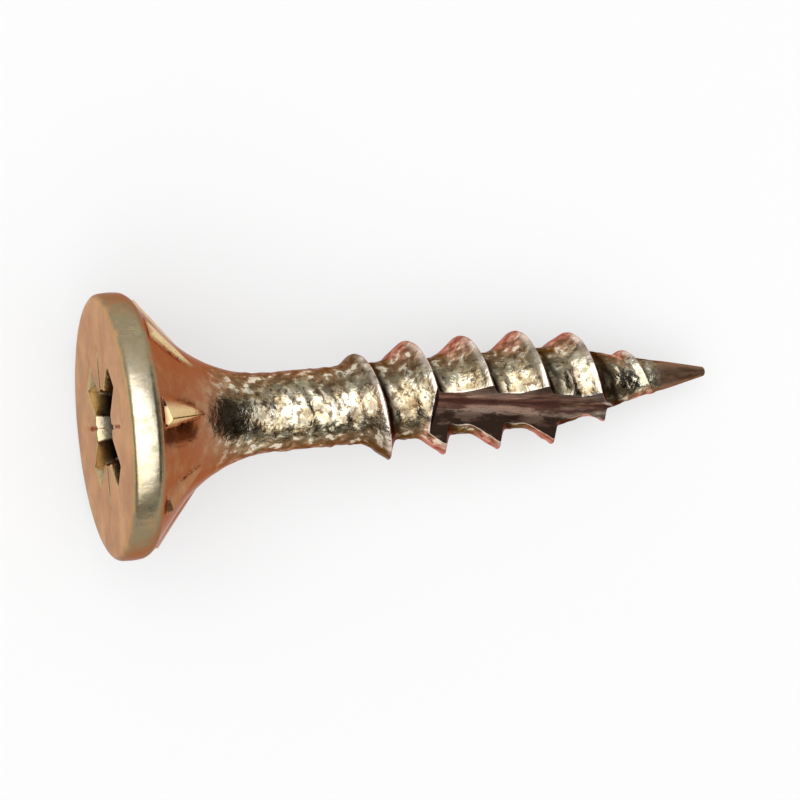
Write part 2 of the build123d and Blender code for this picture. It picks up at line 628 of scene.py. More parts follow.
@dataclass
class Thread:
    """Core with its rolled thread, as one long ribbon wound so that its rows follow the crest."""

    sizes: ScrewSizes
    columns: int = 192
    root_blend: float = 0.25
    least_blend: float = 1e-6
    crest_crown: float = 0.012
    least_crowned: float = 0.05
    row_counts: tuple[int, int, int, int] = (2, 7, 13, 12)
    lead_steepness: float = 2.2
    share_run: Range = (0.20, 0.05)
    share_growth: Range = (0.05, 0.35)

    def __post_init__(self) -> None:
        """Works out where the ribbon's rows lie between two crests."""
        s = self.sizes
        half = s.crest_width / 2
        self.lead_foot = half + s.thread_depth * math.tan(math.radians(s.lead_flank_angle))
        self.back_foot = half + s.thread_depth * math.tan(math.radians(s.back_flank_angle))
        stops = [0.0, half, self.lead_foot, s.pitch - self.back_foot, s.pitch - half]
        runs = zip(stops, stops[1:], self.row_counts)
        rows = [np.linspace(a, b, n, endpoint=False) for a, b, n in runs]
        self.rows = np.concatenate([*rows, stops[-1:]])

    def offset(self, points: np.ndarray) -> np.ndarray:
        """Distance along the axis from the last crest before each point.

        Args:
            points: Points of the standing screw.

        Returns:
            One distance for each point, from 0 to the pitch.
        """
        s = self.sizes
        turn = (np.arctan2(points[:, 1], points[:, 0]) - math.radians(s.thread_bearing)) / math.tau
        return (points[:, 2] - s.tip_start - s.pitch * turn) % s.pitch

    def from_crest(self, offset: np.ndarray) -> np.ndarray:
        """Distance from the nearest crest, which counts for more down the steeper flank."""
        return np.minimum(offset * self.lead_steepness, self.sizes.pitch - offset)

    def crest_share(self, points: np.ndarray) -> np.ndarray:
        """How much of each point is crest: 1 on the land, falling to 0 down either flank.

        Args:
            points: Points of the standing screw.

        Returns:
            One share for each point.
        """
        grown = self.sizes.crest_height(points[:, 2]) / self.sizes.thread_depth
        near = self.from_crest(self.offset(points))
        return ease(near, *self.share_run) * ease(grown, *self.share_growth)

    def section(self, offset: np.ndarray, crest: np.ndarray) -> np.ndarray:
        """Height of the thread over the core.

        Args:
            offset: Distance along the axis from the crest's middle, towards the tip.
            crest: Height of the crest there.

        Returns:
            Height over the core, rounded at its feet.
        """
        s = self.sizes
        beyond = np.abs(offset) - s.crest_width / 2
        angle = np.where(offset > 0, s.lead_flank_angle, s.back_flank_angle)
        flank = crest - np.clip(beyond, 0.0, None) / np.tan(np.radians(angle))
        crown = np.where(beyond < -s.crest_width / 4, self.crest_crown, 0.0)
        blend = np.maximum(self.root_blend * crest, self.least_blend)
        crowned = flank + crown * (crest > self.least_crowned)
        return soft_max(crowned, np.zeros_like(flank), blend) * (crest > 0)

    def build(self, shell: Shell, first: np.ndarray, end: float) -> np.ndarray:
        """Adds the threaded shank to the shell.

        Args:
            shell: Shell that takes the points.
            first: Ring of the neck that the shank starts from.
            end: Distance from the face at which the shank becomes the bare tip.

        Returns:
            The last ring's numbers.
        """
        s, n = self.sizes, self.columns
        begin = s.neck_end
        last = shell.ring(s.core_surface(np.full(n, end)), round_about(n), end)
        lowest = math.floor(n * (begin - s.tip_start - s.pitch) / s.pitch) - n
        highest = math.ceil(n * (end - s.tip_start) / s.pitch) + n
        places = np.arange(lowest, highest + 1)
        turn = places * math.tau / n
        middle = s.tip_start + s.pitch * (turn - math.radians(s.thread_bearing)) / math.tau
        z = middle[:, None] + self.rows[None, :]
        ahead = self.rows[None, :] > (self.lead_foot + s.pitch - self.back_foot) / 2
        offset = np.broadcast_to(self.rows[None, :] - s.pitch * ahead, z.shape)
        crest = s.crest_height(middle[:, None] + s.pitch * ahead)
        radius = s.core_surface(z) + self.section(offset, crest)
        numbers = np.where(z <= begin, first[places % n][:, None], last[places % n][:, None])
        inside = (z > begin) & (z < end)
        bearing = np.broadcast_to(turn[:, None], z.shape)
        numbers[inside] = shell.ring(radius[inside], bearing[inside], z[inside])
        self.stitch(shell, numbers)
        return last

    def stitch(self, shell: Shell, numbers: np.ndarray) -> None:
        """Adds the faces of the wound ribbon, whose last row meets its first one turn later.

        Args:
            shell: Shell that takes the faces.
            numbers: The points' numbers, by place along the ribbon and row.
        """
        next_turn = np.full((len(numbers), 1), -1)
        next_turn[: -self.columns] = numbers[self.columns :, :1]
        grid = np.hstack([numbers, next_turn])
        for near, far in zip(grid, grid[1:]):
            for loop in zip(near, far, far[1:], near[1:]):
                kept = [v for k, v in enumerate(loop) if v != loop[k - 1]]
                if len(set(kept)) >= 3 and min(kept) >= 0:
                    shell.faces.append(tuple(kept))


@dataclass(frozen=True)
class Point:
    """Bare tip, from the last of the thread to the rounded point."""

    sizes: ScrewSizes
    nose_share: float = 0.8
    cone_rows: int = 11
    nose_rows: int = 5

    def build(self, shell: Shell, ring: np.ndarray, start: float) -> None:
        """Adds the tip to the shell.

        Args:
            shell: Shell that takes the rings.
            ring: Ring that the tip starts from.
            start: That ring's distance from the face.
        """
        s, bearing = self.sizes, round_about(len(ring))
        nose = s.tip_radius * self.nose_share
        for z in steps(start, s.length - nose, self.cone_rows):
            ring = shell.extend(ring, s.core_surface(np.array(z)), bearing, z)
        radius = s.core_surface(np.array(s.length - nose))
        for a in steps(0, math.pi / 2, self.nose_rows + 1)[:-1]:
            z = s.length - nose + nose * math.sin(a)
            ring = shell.extend(ring, radius * math.cos(a), bearing, z)
        shell.close(ring, s.length)


@dataclass(frozen=True)
class Flute:
    """Milled V-flute that slants across the tip, in millimetres and degrees."""

    sizes: ScrewSizes
    length: float = 9.2
    angle: float = 90.0
    floor: float = 0.58
    bearing: float = 206.0
    slant: float = 8.0
    crossing: float = 7.7
    end_angle: float = 62.0
    cutter_rise: float = 0.2
    cutter_overrun: float = 1.0

    def place(self) -> Matrix:
        """Place of the flute on the standing screw.

        Returns:
            Its turn to its bearing, with its slant over the crossing.
        """
        crossing = Matrix.Translation((0.0, 0.0, self.sizes.length - self.crossing))
        slant = crossing @ Matrix.Rotation(math.radians(-self.slant), 4, "X") @ crossing.inverted()
        return Matrix.Rotation(math.radians(self.bearing), 4, "Z") @ slant

    def seen_from(self, points: np.ndarray) -> np.ndarray:
        """Places of the standing screw's points in the flute's own frame, one row for each axis."""
        back = np.array(self.place().inverted())
        return (points @ back[:3, :3].T + back[:3, 3]).T

    def depth(self, points: np.ndarray) -> np.ndarray:
        """How deep each point lies inside the cut; negative outside it.

        Args:
            points: Points of the standing screw, in millimetres.

        Returns:
            Distance to the nearest wall of the cut, in millimetres.
        """
        x, y, z = self.seen_from(points)
        half, end = math.radians(self.angle / 2), math.radians(self.end_angle)
        walls = (x - self.floor) * math.sin(half) - np.abs(y) * math.cos(half)
        from_start = z - self.sizes.length + self.length
        rear = from_start * math.sin(end) + (x - self.sizes.core_radius) * math.cos(end)
        return np.minimum(walls, rear)

    def cutter(self) -> bpy.types.Object:
        """Prism that cuts the flute, with a sloping wall at its rear end.

        Returns:
            The prism, in place on the standing screw.
        """
        s = self.sizes
        start, top = s.length - self.length, s.thread_diameter / 2 + self.cutter_rise
        half = (top - self.floor) * math.tan(math.radians(self.angle / 2))
        slope = 1 / math.tan(math.radians(self.end_angle))
        corners = [(self.floor, 0.0), (top, half), (top, -half)]
        rear = [(x, y, start - (x - s.core_radius) * slope) for x, y in corners]
        front = [(x, y, s.length + self.cutter_overrun) for x, y in corners]
        mesh = bpy.data.meshes.new("flute_cutter")
        quads = [(0, 1, 4, 3), (1, 2, 5, 4), (2, 0, 3, 5)]
        mesh.from_pydata([*rear, *front], [], [(2, 1, 0), (3, 4, 5), *quads])
        mesh.transform(self.place())
        cutter = bpy.data.objects.new("flute_cutter", mesh)
        bpy.context.scene.collection.objects.link(cutter)
        return cutter


@dataclass(frozen=True)
class Unevenness:
    """Slight unevenness of formed and rolled steel, in millimetres, as seeded noise."""

    head_waves: tuple[Range, ...] = ((0.9, 0.005), (0.30, 0.0022))
    head_radius: Range = (2.5, 3.0)
    head_depth: Range = (0.0, 0.3)
    rolled_start: Range = (2.6, 4.8)
    rolled_heights: Range = (0.030, 0.017)
    rolled_cells: int = 8
    rolled_seed: int = 7
    rolled_sink: float = 0.6
    crest_calm: float = 0.75
    cells_around: float = 4.2
    drift: float = 1.1
    least_radius: Range = (0.05, 0.2)

    def apply(self, points: np.ndarray, thread: Thread) -> np.ndarray:
        """Moves points in towards the axis, by a broad noise on the head and a wound one on the shank.

        Args:
            points: Points of the shell.
            thread: Thread that the noise follows.

        Returns:
            The moved points.
        """
        s = thread.sizes
        x, y, z = points.T
        radius = np.hypot(x, y)
        axis_guard, move_guard = self.least_radius
        push = np.zeros(len(points))
        on_head = ease(radius, *self.head_radius) * ease(z, *self.head_depth)
        for seed, (spacing, height) in enumerate(self.head_waves):
            push += height * (Grain(seed).at(points / spacing) - 1.0) * on_head
        rolled = ease(z, *self.rolled_start) * s.before_point(z)
        rolled *= 1.0 - self.crest_calm * thread.crest_share(points)
        turn = np.arctan2(y, x) / math.tau
        for octave, height in enumerate(self.rolled_heights):
            cells = self.rolled_cells * 2**octave
            around = s.core_radius * cells / self.cells_around
            over_x = around * x / radius.clip(axis_guard) + self.drift * z
            over_y = around * y / radius.clip(axis_guard)
            wound = np.stack([over_x, over_y, (z / s.pitch - turn) * cells], axis=1)
            grain = Grain(self.rolled_seed + octave, (32, 32, cells))
            push += height * (grain.at(wound) - self.rolled_sink) * rolled
        moved = points.copy()
        moved[:, :2] += points[:, :2] * (push / np.maximum(radius, move_guard))[:, None]
        return moved


@dataclass(frozen=True)
class Marks:
    """Where the marks that steer the finishes begin and end on the standing screw, in millimetres.

    The ranges named growth are shares of a full crest, and cone_start is in heights of the rim.
    """

    ridge_run: Range = (0.90, 0.48)
    ridge_growth: Range = (0.1, 0.7)
    foot_reach: float = 0.42
    foot_widening: float = 0.24
    widening_run: Range = (11.0, 16.0)
    foot_start: Range = (0.015, 0.06)
    foot_end: Range = (0.2, -0.12)
    foot_growth: Range = (0.05, 0.5)
    recess_depth: Range = (0.03, 0.6)
    recess_radius: Range = (2.4, 2.2)
    recess_limit: float = 2.3
    rib_lift: Range = (0.02, 0.12)
    rib_highlight_fade: Range = (-0.9, -0.4)
    rib_least: float = 0.15
    rib_inset: float = 0.1
    rib_end: float = 1.5
    edge_depth: Range = (-0.05, -0.004)
    cone_start: Range = (0.8, 1.15)
    cone_end: Range = (4.6, 2.6)
    face_depth: Range = (0.15, 0.02)
    rim_inset: Range = (-0.15, -0.04)
    rolled_start: Range = (2.7, 4.3)
    hollow_start: Range = (6.3, 8.3)
    point_start: Range = (-0.5, 0.3)

    def on_rib(self, s: ScrewSizes, points: np.ndarray, radius: np.ndarray) -> np.ndarray:
        """Share of each point that stands out of the cone and flare as a rib, painted gold as a highlight
        that fades towards -Y.

        Args:
            s: Sizes of the screw.
            points: Points of the standing screw.
            radius: Their distance from the axis.

        Returns:
            One share for each point.
        """
        z = points[:, 2]
        on_flare = s.core_radius + s.flare_radius - np.clip(radius, s.core_radius, s.flare_start_radius)
        flare_z = s.flare_end - np.sqrt(np.clip(s.flare_radius**2 - on_flare**2, 0.0, None))
        lift = z - np.where(radius > s.flare_start_radius, s.cone_surface(radius), flare_z)
        along = (z > s.rim_height) & (z < s.flare_end - self.rib_end)
        under_head = along & (radius < s.corner_radius - self.rib_inset)
        # Painted highlight: full from y = -0.4 up, falling to rib_least by y = -0.9.
        highlit = self.rib_least + (1.0 - self.rib_least) * ease(points[:, 1], *self.rib_highlight_fade)
        return ease(lift, *self.rib_lift) * under_head * highlit

    def crevice(self, s: ScrewSizes, z: np.ndarray, radius: np.ndarray, foot: np.ndarray) -> np.ndarray:
        """Share of each point that lies in the recess or at a crest's foot, where the finish paints shade.

        Args:
            s: Sizes of the screw.
            z: Distance from the face.
            radius: Distance from the axis.
            foot: Share of each point that is a crest's foot.

        Returns:
            One share for each point.
        """
        in_recess = (radius < self.recess_limit) & (z < s.flare_start)
        # Painted shade deepens with the depth of the recess.
        sunk = ease(z, *self.recess_depth) * ease(radius, *self.recess_radius) * in_recess
        return np.maximum(foot, sunk)

    def shares(self, points: np.ndarray, thread: Thread, flute: Flute) -> dict[str, np.ndarray]:
        """Share of each mark at each point, and the height over the flute's floor.

        Args:
            points: Points of the standing screw.
            thread: The screw's thread.
            flute: The screw's flute.

        Returns:
            One field of values for each name.
        """
        s = thread.sizes
        z, radius = points[:, 2], np.hypot(points[:, 0], points[:, 1])
        offset = thread.offset(points)
        grown = np.clip(s.crest_height(z - offset) / s.thread_depth, 0.0, 1.0)
        ridge = ease(thread.from_crest(offset), *self.ridge_run) * ease(grown, *self.ridge_growth)
        reach = self.foot_reach + self.foot_widening * ease(z, *self.widening_run)
        foot = ease(offset, *self.foot_start) * ease(offset - reach, *self.foot_end)
        foot = foot * ease(grown, *self.foot_growth)
        return {
            "crest": thread.crest_share(points),
            "edge": ease(flute.depth(points), *self.edge_depth),
            "height": flute.seen_from(points)[0] - flute.floor,
            "crevice": self.crevice(s, z, radius, foot),
            "cone": ease(z / s.rim_height, *self.cone_start) * ease(z, *self.cone_end),
            "rib": self.on_rib(s, points, radius),
            "face": ease(z, *self.face_depth),
            "rim": ease(radius - s.corner_radius, *self.rim_inset),
            "rolled": ease(z, *self.rolled_start) * s.before_point(z),
            "ridge": ridge,
            # Hollows between the crests, which take painted shade.
            "hollow": (1.0 - ridge) * ease(z, *self.hollow_start) * s.before_point(z),
            "point": ease(z - s.fade_end, *self.point_start),
        }


@dataclass(frozen=True)
class Noise:
    """Named noise: its scale, detail and roughness, and how far it is drawn out along the screw."""

    name: str
    scale: float
    detail: float = 3.0
    rough: float = 0.55
    along: float = 1.0


@dataclass(frozen=True)
class Step:
    """Smooth step over a named field from low to high, and what it gives at each of the two."""

    over: str
    low: float
    high: float
    at_low: float = 0.0
    at_high: float = 1.0


@dataclass(frozen=True)
class Layer:
    """Colour over those below it, shown by the product of its marks, its lines and its steps.

    A line is a mark with a slope and a start. Where the mark whole_at is full, so is the layer.
    The second colour breaks up the first one by a step of its own.
    """

    name: str
    colour: Colour
    marks: tuple[str, ...] = ()
    steps: tuple[Step, ...] = ()
    lines: tuple[tuple[str, float, float], ...] = ()
    whole_at: str = ""
    second: Colour | None = None
    second_step: Step | None = None


class NodeTree:
    """Short way to lay out the nodes of a material or a world."""

    def __init__(self, owner: bpy.types.Material | bpy.types.World) -> None:
        """Gives the owner an empty tree of nodes.

        Args:
            owner: Material or world that the tree belongs to.
        """
        owner.use_nodes = True
        self.tree = owner.node_tree
        self.tree.nodes.clear()

    def feed(self, socket: Socket, value: object) -> None:
        """Links an input to another node, or sets it.

        Args:
            socket: The input.
            value: Output socket, number, vector, or colour without its alpha.
        """
        if isinstance(value, bpy.types.NodeSocket):
            self.tree.links.new(value, socket)
        elif socket.type == "RGBA":
            socket.default_value = (*value, 1.0)
        else:
            socket.default_value = value

    def add(self, kind: str, inputs: dict[str | int, object], **settings: object) -> bpy.types.Node:
        """Adds a node.

        Args:
            kind: Blender's name of the node's type.
            inputs: Values or output sockets for the node's inputs.
            **settings: Properties of the node.

        Returns:
            The node.
        """
        node = self.tree.nodes.new(kind)
        for name, value in settings.items():
            setattr(node, name, value)
        for name, value in inputs.items():
            self.feed(node.inputs[name], value)
        return node

    def math(self, operation: str, *values: object) -> Socket:
        """One arithmetic step on numbers or sockets; returns its output."""
        return self.add("ShaderNodeMath", dict(enumerate(values)), operation=operation).outputs[0]

    def times(self, first: object, *others: object) -> Socket:
        """Product of numbers or sockets.

        Args:
            first: The first factor.
            *others: The other factors.

        Returns:
            The product's socket.
        """
        for other in others:
            first = self.math("MULTIPLY", first, other)
        return first

    def line(self, value: object, slope: object, start: object) -> Socket:
        """Value times a slope, plus a start; returns its output."""
        return self.math("MULTIPLY_ADD", value, slope, start)

    def noises(self, kinds: tuple[Noise, ...]) -> dict[str, Socket]:
        """Values of noises over the screw.

        Args:
            kinds: The noises.

        Returns:
            Their sockets by name.
        """
        values = {}
        for kind in kinds:
            place = self.add("ShaderNodeTexCoord", {}).outputs["Object"]
            if kind.along != 1.0:
                squeezed = {"Vector": place, "Scale": (kind.along, 1.0, 1.0)}
                place = self.add("ShaderNodeMapping", squeezed).outputs[0]
            inputs = {"Vector": place, "Scale": kind.scale, "Detail": kind.detail, "Roughness": kind.rough}
            values[kind.name] = self.add("ShaderNodeTexNoise", inputs).outputs[0]
        return values

    def step(self, fields: dict[str, Socket], kind: Step) -> Socket:
        """Smooth step over one of the fields; returns its output."""
        inputs = dict(enumerate((fields[kind.over], kind.low, kind.high, kind.at_low, kind.at_high)))
        return self.add("ShaderNodeMapRange", inputs, interpolation_type="SMOOTHSTEP").outputs[0]

    def upward(self) -> Socket:
        """Upward share of the surface's normal; returns its output."""
        normal = self.add("ShaderNodeTexCoord", {}).outputs["Normal"]
        return self.add("ShaderNodeSeparateXYZ", {0: normal}).outputs["Z"]

    def facing(self, place: Socket, direction: Direction) -> Socket:
        """Cosine between a direction of the dome and a given one; returns its output."""
        node = self.add("ShaderNodeVectorMath", {0: place, 1: direction}, operation="DOT_PRODUCT")
        return node.outputs["Value"]

    def mask(self, name: str) -> Socket:
        """Value of one of the mesh's marks; returns its output."""
        return self.add("ShaderNodeAttribute", {}, attribute_name=name).outputs["Fac"]

    def mix(self, factor: Socket, a: Socket | Colour, b: Socket | Colour, name: str = "") -> Socket:
        """Mix of two colours; returns its output."""
        return self.add("ShaderNodeMix", {0: factor, 6: a, 7: b}, data_type="RGBA", label=name).outputs[2]

    def lay(self, fields: dict[str, Socket], colour: Socket | Colour, layers: tuple[Layer, ...]) -> Socket:
        """Lays colours over one another, in order.

        Args:
            fields: What the layers' steps go over, by name.
            colour: Colour at the bottom.
            layers: Layers over it.

        Returns:
            The colour's socket.
        """
        for layer in layers:
            factors = [self.mask(name) for name in layer.marks]
            factors += [self.line(self.mask(name), slope, start) for name, slope, start in layer.lines]
            factors += [self.step(fields, kind) for kind in layer.steps]
            share = self.times(*factors)
            if layer.whole_at:
                share = self.math("MAXIMUM", self.mask(layer.whole_at), share)
            over = layer.colour
            if layer.second_step:
                over = self.mix(self.step(fields, layer.second_step), over, layer.second)
            colour = self.mix(share, colour, over, layer.name)
        return colour

    def bump(self, height: Socket, strength: Socket | float, distance: float, **more: Socket) -> Socket:
        """Normal with a height's relief, over the normal given with it; returns its output."""
        inputs = {"Height": height, "Strength": strength, "Distance": distance, **more}
        return self.add("ShaderNodeBump", inputs).outputs[0]

    def ramp(self, value: Socket, stops: tuple[tuple[float, Colour], ...]) -> Socket:
        """Colour ramp over a value.

        Args:
            value: Value from 0 to 1.
            stops: Places and colours, in order.

        Returns:
            The ramp's colour.
        """
        node = self.add("ShaderNodeValToRGB", {0: value})
        elements = node.color_ramp.elements
        for index, (place, colour) in enumerate(stops):
            element = elements[index] if index < 2 else elements.new(place)
            element.position = place
            element.color = (*colour, 1.0)
        return node.outputs[0]

    def surface(self, inputs: dict[str | int, object]) -> None:
        """Ends the tree in a principled shader on the material's surface.

        Args:
            inputs: Values or output sockets for the shader's inputs.
        """
        shader = self.add("ShaderNodeBsdfPrincipled", inputs)
        self.add("ShaderNodeOutputMaterial", {"Surface": shader.outputs[0]})


@dataclass(frozen=True)
class PlatedSteel:
    """Yellow-passivated zinc on steel: olive over a rolled, pitted skin, with painted light: champagne
    facing up, copper and rose facing away.
    """

    noises: tuple[Noise, ...] = (
        Noise("broad", 420.0),
        Noise("blots", 1250.0),
        Noise("patch", 1900.0, 4.0, 0.6),
        Noise("cells", 3300.0, 2.0, 0.5),
        Noise("fine", 5600.0, 3.0, 0.6),
        Noise("drawn", 5200.0, along=0.12),
        Noise("clouds", 950.0, 4.0, 0.65),
        Noise("wear", 2600.0, 4.0, 0.6),
        Noise("grit", 9000.0, 3.0, 0.6),
        Noise("scuffs", 4200.0, along=0.15),
    )
    # The ramp runs from painted copper floor reflection at its dark end to painted champagne highlight at
    # its pale end.
    stops: tuple[tuple[float, Colour], ...] = (
        (0.00, (0.20, 0.075, 0.040)),
        (0.22, (0.35, 0.140, 0.070)),
        (0.42, (0.37, 0.175, 0.090)),
        (0.62, (0.44, 0.295, 0.150)),
        (0.80, (0.73, 0.610, 0.390)),
        (0.96, (0.90, 0.820, 0.670)),
    )
    painted_light_by_up: Range = (0.80, 0.12)
    tone_by_broad: float = 0.50
    tone_by_patch: float = 1.1
    stir_by_rolled: Range = (0.65, 0.35)
    layers: tuple[Layer, ...] = (
        Layer(
            "olive",
            (0.50, 0.47, 0.27),
            steps=(Step("patch", 0.50, 0.66), Step("up", 0.2, 0.8, 0.15, 0.75)),
        ),
        Layer(
            "brick cone",
            (0.34, 0.120, 0.060),
            marks=("cone",),
            steps=(Step("patch", 0.35, 0.75, 0.92, 0.68),),
        ),
        # Painted highlight: gold over the ribs, by the rib mark.
        Layer("painted gold highlight on ribs", (0.82, 0.64, 0.34), marks=("rib",)),
        Layer(
            "gold face",
            (0.58, 0.40, 0.20),
            marks=("face",),
            steps=(Step("broad", 0.35, 0.65, 0.55, 0.85),),
        ),
        # Dark olive patches on the rim, laid only where it turns away from the top: random patches with
        # painted shade on the rim's sides.
        Layer(
            "rim patches with painted shade",
            (0.24, 0.205, 0.125),
            marks=("rim",),
            steps=(Step("patch", 0.25, 0.62), Step("up", 0.92, 0.60, 0.0, 0.80)),
        ),
        # Painted floor reflection: rose on the crests where they turn away from the top.
        Layer(
            "painted rose reflection on ridges",
            (0.56, 0.295, 0.200),
            marks=("ridge",),
            steps=(Step("up", 0.86, 0.45, 0.0, 0.92),),
        ),
        Layer(
            "shaded sides",
            UMBER,
            marks=("rolled",),
            steps=(Step("up", 0.97, 0.55),),
            lines=(("ridge", -1.0, 1.0), ("hollow", 0.42, 0.50)),
        ),
        Layer("blots", UMBER, marks=("rolled",), steps=(Step("blots", 0.50, 0.60, 0.0, 0.55),)),
        # Pale flakes at random, laid most where the surface faces up and less in the hollows: painted
        # glints on the flakes.
        Layer(
            "pale flakes with painted glints",
            (0.88, 0.80, 0.62),
            marks=("rolled",),
            steps=(Step("cells", 0.45, 0.37), Step("up", 0.10, 0.60, 0.15, 0.88)),
            lines=(("hollow", -0.25, 1.0),),
        ),
        # Dark pits at random, denser on the sides turned away from the top, where they add painted shade.
        Layer(
            "pits with painted shade",
            (0.095, 0.058, 0.026),
            marks=("rolled",),
            steps=(Step("cells", 0.48, 0.60), Step("up", 0.95, 0.50, 0.40, 0.75)),
        ),
        Layer("specks", SPECK, steps=(Step("fine", 0.53, 0.64),), lines=(("rolled", 0.75, 0.08),)),
        Layer(
            "plum point",
            (0.24, 0.140, 0.088),
            marks=("point",),
            second=SPECK,
            second_step=Step("drawn", 0.50, 0.62, 0.0, 0.75),
        ),
        # Painted highlight: pale colour on the crests, strongest where they face up, and all along the
        # flute's edges.
        Layer(
            "painted highlight on crests and flute edges",
            (0.92, 0.80, 0.68),
            marks=("crest",),
            steps=(Step("patch", 0.72, 0.40), Step("up", 0.2, 0.7, 0.10, 1.0)),
            whole_at="edge",
        ),
        # Painted shade, near black, in the recess and at the crests' feet.
        Layer(
            "painted shade in crevices",
            (0.035, 0.022, 0.012),
            marks=("crevice",),
            steps=(Step("patch", 0.80, 0.50, 0.55, 0.97),),
        ),
    )
    grazing_tint: Colour = (0.78, 0.50, 0.41)
    grazing_layers: tuple[Layer, ...] = (
        # Painted shade: a darker tint of the grazing reflection in the thread's hollows.
        Layer("painted shade tint in hollows", (0.50, 0.36, 0.30), marks=("hollow",)),
        Layer("ridge tint", (0.95, 0.47, 0.43), marks=("ridge",)),
        Layer(
            "face tint",
            (0.93, 0.66, 0.53),
            marks=("face",),
            second=(0.74, 0.55, 0.48),
            second_step=Step("clouds", 0.38, 0.62),
        ),
    )
    roughness: float = 0.07
    rough_wear: float = 0.20
    rough_marks: tuple[tuple[str, float], ...] = (("crevice", 0.2), ("point", 0.22), ("rim", 0.12))
    relief_by_rolled: Range = (0.75, 0.25)
    scuff_share: float = 0.8
    wear_height: float = 0.000050
    grit_height: float = 0.000008

    def ground(self, t: NodeTree, fields: dict[str, Socket]) -> Socket:
        """Passivation's colour with its random tone, painted paler the more the steel faces up: painted
        highlight on top, painted copper floor reflection below.

        Args:
            t: Tree that takes the nodes.
            fields: Noises and the upward share of the normal, by name.

        Returns:
            The colour's socket.
        """
        # Painted light: the tone rises the more the surface faces up.
        tone = t.line(fields["up"], *self.painted_light_by_up)
        tone = t.line(t.math("SUBTRACT", fields["broad"], 0.5), self.tone_by_broad, tone)
        stir = t.line(t.mask("rolled"), *self.stir_by_rolled)
        tone = t.line(t.times(t.math("SUBTRACT", fields["patch"], 0.5), stir), self.tone_by_patch, tone)
        return t.ramp(tone, self.stops)

    def make(self) -> bpy.types.Material:
        """Lays out the finish's nodes.

        Returns:
            The material.
        """
        material = bpy.data.materials.new("yellow_zinc_plating")
        t = NodeTree(material)
        fields = t.noises(self.noises) | {"up": t.upward()}
        rough = t.line(fields["wear"], self.rough_wear, self.roughness)
        for name, share in self.rough_marks:
            rough = t.line(t.mask(name), share, rough)
        strength = t.line(t.mask("rolled"), *self.relief_by_rolled)
        scuffs = t.times(fields["scuffs"], t.mask("rim"))
        coarse = t.bump(t.line(scuffs, self.scuff_share, fields["wear"]), strength, self.wear_height)
        inputs = {
            "Base Color": t.lay(fields, self.ground(t, fields), self.layers),
            "Metallic": 1.0,
            "Roughness": rough,
            "Normal": t.bump(fields["grit"], strength, self.grit_height, Normal=coarse),
            "Specular Tint": t.lay(fields, self.grazing_tint, self.grazing_layers),
        }
        t.surface(inputs)
        return material


@dataclass(frozen=True)
class MilledSteel:
    """Plating over the milled flute: plum brown with a painted highlight stripe and dark mottle, and the
    cutter's lines along it.
    """

    noises: tuple[Noise, ...] = (
        Noise("lines", 7000.0, along=0.10),
        Noise("streaks", 2600.0, along=0.10),
        Noise("flute_blotches", 2600.0, 4.0, 0.65, 0.35),
    )
    plum: Colour = (0.155, 0.082, 0.066)
    mottle_by_height: float = 0.22
    layers: tuple[Layer, ...] = (
        Layer("bronze", (0.25, 0.160, 0.115), steps=(Step("streaks", 0.44, 0.58),)),
        # Painted highlight: a pale, streaked stripe just above the flute's floor.
        Layer(
            "painted highlight stripe",
            (0.74, 0.56, 0.45),
            steps=(
                Step("height", 0.36, 0.20),
                Step("height", 0.03, 0.12),
                Step("streaks", 0.45, 0.60, 0.05, 0.95),
            ),
        ),
        # Dark mottle, heavier up the walls towards the flute's mouth.
        Layer(
            "dark mottle up the walls",
            (0.060, 0.036, 0.025),
            steps=(Step("mottle", 0.52, 0.62), Step("height", 0.15, 0.40, 0.65, 0.97)),
        ),
    )
    roughness: float = 0.17
    rough_lines: float = 0.16
    line_strength: float = 0.6
    line_height: float = 0.000012

    def make(self) -> bpy.types.Material:
        """Lays out the finish's nodes.

        Returns:
            The material.
        """
        material = bpy.data.materials.new("milled_flute_plating")
        t = NodeTree(material)
        fields = t.noises(self.noises) | {"height": t.mask("height")}
        fields["mottle"] = t.line(fields["height"], self.mottle_by_height, fields["flute_blotches"])
        inputs = {
            "Base Color": t.lay(fields, self.plum, self.layers),
            "Metallic": 1.0,
            "Roughness": t.line(fields["lines"], self.rough_lines, self.roughness),
            "Normal": t.bump(fields["lines"], self.line_strength, self.line_height),
        }
        t.surface(inputs)
        return material


